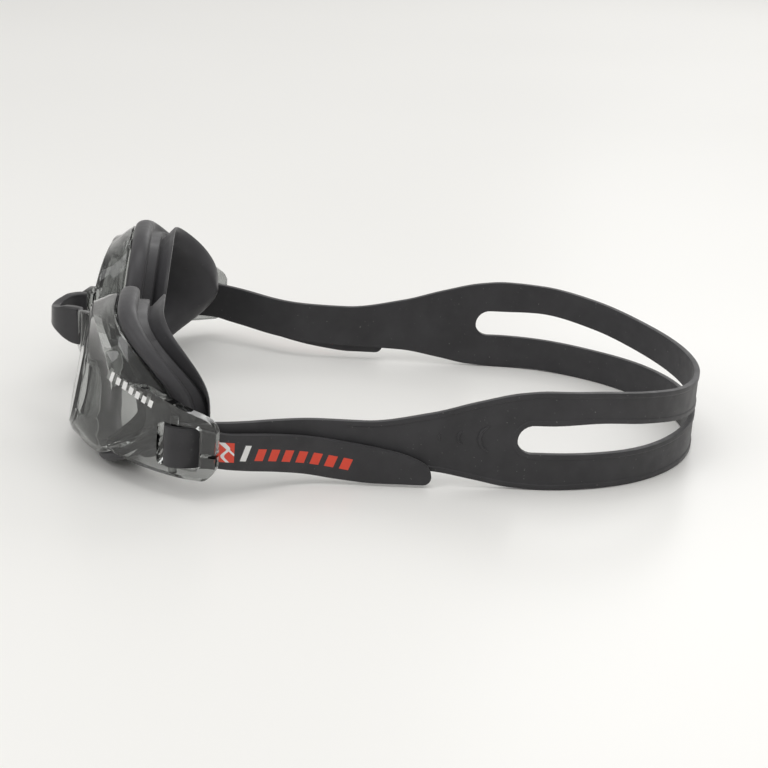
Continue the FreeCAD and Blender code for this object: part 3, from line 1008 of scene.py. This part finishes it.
SEAL_BLACK = silicone("seal_silicone", 0.040, 0.46, 0.3)
STRAP_BLACK = silicone("strap_silicone", 0.030, 0.56, 0.8)
TAIL_BLACK = silicone("tail_silicone", 0.030, 0.56, 0.6, tail_print)
BRIDGE_BLACK = silicone("bridge_plastic", 0.030, 0.34, 0.2)
LENS_SMOKE = smoked("smoked_plastic")


def dress(obj, material):
    obj.data.materials.clear()
    obj.data.materials.append(material)


# ---------------------------------------------------------------- build
def finish_piece(obj, material, body=None, replaces=()):
    dress(obj, material)
    if body:
        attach(obj, body)
    if replaces:
        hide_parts(*replaces)


cup_left = lens_cup()
cup_right = mirrored(cup_left, "lens_shell_right")
post_left = buckle_post()
post_right = mirrored(post_left, "buckle_post_right")
seal_left = seal()
seal_right = mirrored(seal_left, "seal_right")
arch = bridge()
for cup, post, gasket, side in ((cup_left, post_left, seal_left, "left"),
                                (cup_right, post_right, seal_right, "right")):
    finish_piece(cup, LENS_SMOKE, "front", ["lens_" + side])
    finish_piece(post, LENS_SMOKE, "front")
    finish_piece(gasket, SEAL_BLACK, "front", ["gasket_" + side])
finish_piece(arch, BRIDGE_BLACK, "front", ["nose_bridge"])

sides = {side: strap_side(side) for side in ("left", "right")}
for side, parts in sides.items():
    finish_piece(parts["turn"], TAIL_BLACK, "front", ["strap_fold_" + side])
    finish_piece(parts["plate"], STRAP_BLACK, "strap_rear", ["strap_yoke_" + side])
    finish_piece(parts["run"], STRAP_BLACK, None, ["strap_lead_" + side])
    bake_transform(parts["run"], "front", "strap_rear", start=here(0, 64, 0), end=here(0, SEAM_YOKE_Y, 0))
    finish_piece(parts["tail"], TAIL_BLACK, None, ["strap_tab_" + side])
    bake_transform(parts["tail"], "front", "tab_" + side, start=here(0, 60, 0), end=here(0, TAILS[side][0], 0))
upper, lower = rear_bands(sides["left"]["bands"], sides["right"]["bands"])
finish_piece(lower, STRAP_BLACK, "strap_rear", ["strap_lower_band"])
finish_piece(upper, STRAP_BLACK, None, ["strap_upper_band"])
here(0, SEAM_BAND_Y, 0)
here(0, 158, 0)
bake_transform(upper)
marks_left = grip_marks()
marks_right = mirrored(marks_left, "grip_marks_right")
for marks in (marks_left, marks_right):
    finish_piece(marks, STRAP_BLACK, "strap_rear")


# ---------------------------------------------------------------- table, light and camera
def table_top():
    drop_selection()
    bpy.ops.mesh.primitive_plane_add(size=14, location=(-2, 0, -0.0001))
    top = blank("table_top")
    f = Finish("pale_table")
    f.set(Base_Color=f.mix(f.noise(1.2, 2), (0.86, 0.855, 0.835, 1), (0.90, 0.895, 0.88, 1)),
          Roughness=f.fade(f.noise(3, 2), 0.3, 0.7, 0.30, 0.38))
    f.set(Specular_IOR_Level=0.35)
    dress(top, f.material)


def soft_light(name, place, target, size, power, colour=(1, 1, 1)):
    data = bpy.data.lights.new(name, "AREA")
    data.shape, data.size, data.energy, data.color = "SQUARE", size, power, colour
    light = bpy.data.objects.new(name, data)
    light.location = place
    light.rotation_euler = (Vector(target) - Vector(place)).to_track_quat("-Z", "Y").to_euler()
    bpy.context.collection.objects.link(light)


def studio():
    world = bpy.data.worlds.new("studio")
    bpy.context.scene.world = world
    world.use_nodes = True
    sky = world.node_tree.nodes["Background"]
    sky.inputs["Color"].default_value = (1.0, 0.99, 0.965, 1)
    sky.inputs["Strength"].default_value = 0.60
    soft_light("top_box", (0.1, 0.05, 1.1), (0, 0, 0), 1.0, 4.6)
    soft_light("front_box", (0.5, -0.9, 0.7), (0, -0.05, 0), 0.6, 2.6)
    soft_light("back_box", (-0.9, 0.5, 0.6), (0, 0, 0), 0.7, 2.4)


def camera():
    """Long lens from the wearer's left, a little above the strap."""
    yaw, pitch, roll = -0.0874234, 0.3308683, 0.0743950
    ahead = Vector((-math.cos(yaw) * math.cos(pitch), -math.sin(yaw) * math.cos(pitch), -math.sin(pitch)))
    level = ahead.cross(Vector((0, 0, 1))).normalized()
    above = level.cross(ahead)
    right = level * math.cos(roll) + above * math.sin(roll)
    up = above * math.cos(roll) - level * math.sin(roll)
    data = bpy.data.cameras.new("camera")
    data.lens, data.sensor_width = 90.61, 36.0
    cam = bpy.data.objects.new("camera", data)
    turn = Matrix((right, up, -ahead)).transposed()
    cam.location = here(533.35, 40.32, 193.92)
    cam.rotation_euler = turn.to_euler()
    bpy.context.collection.objects.link(cam)
    bpy.context.scene.camera = cam


table_top()
studio()
camera()
bpy.context.scene.view_settings.view_transform = "Standard"
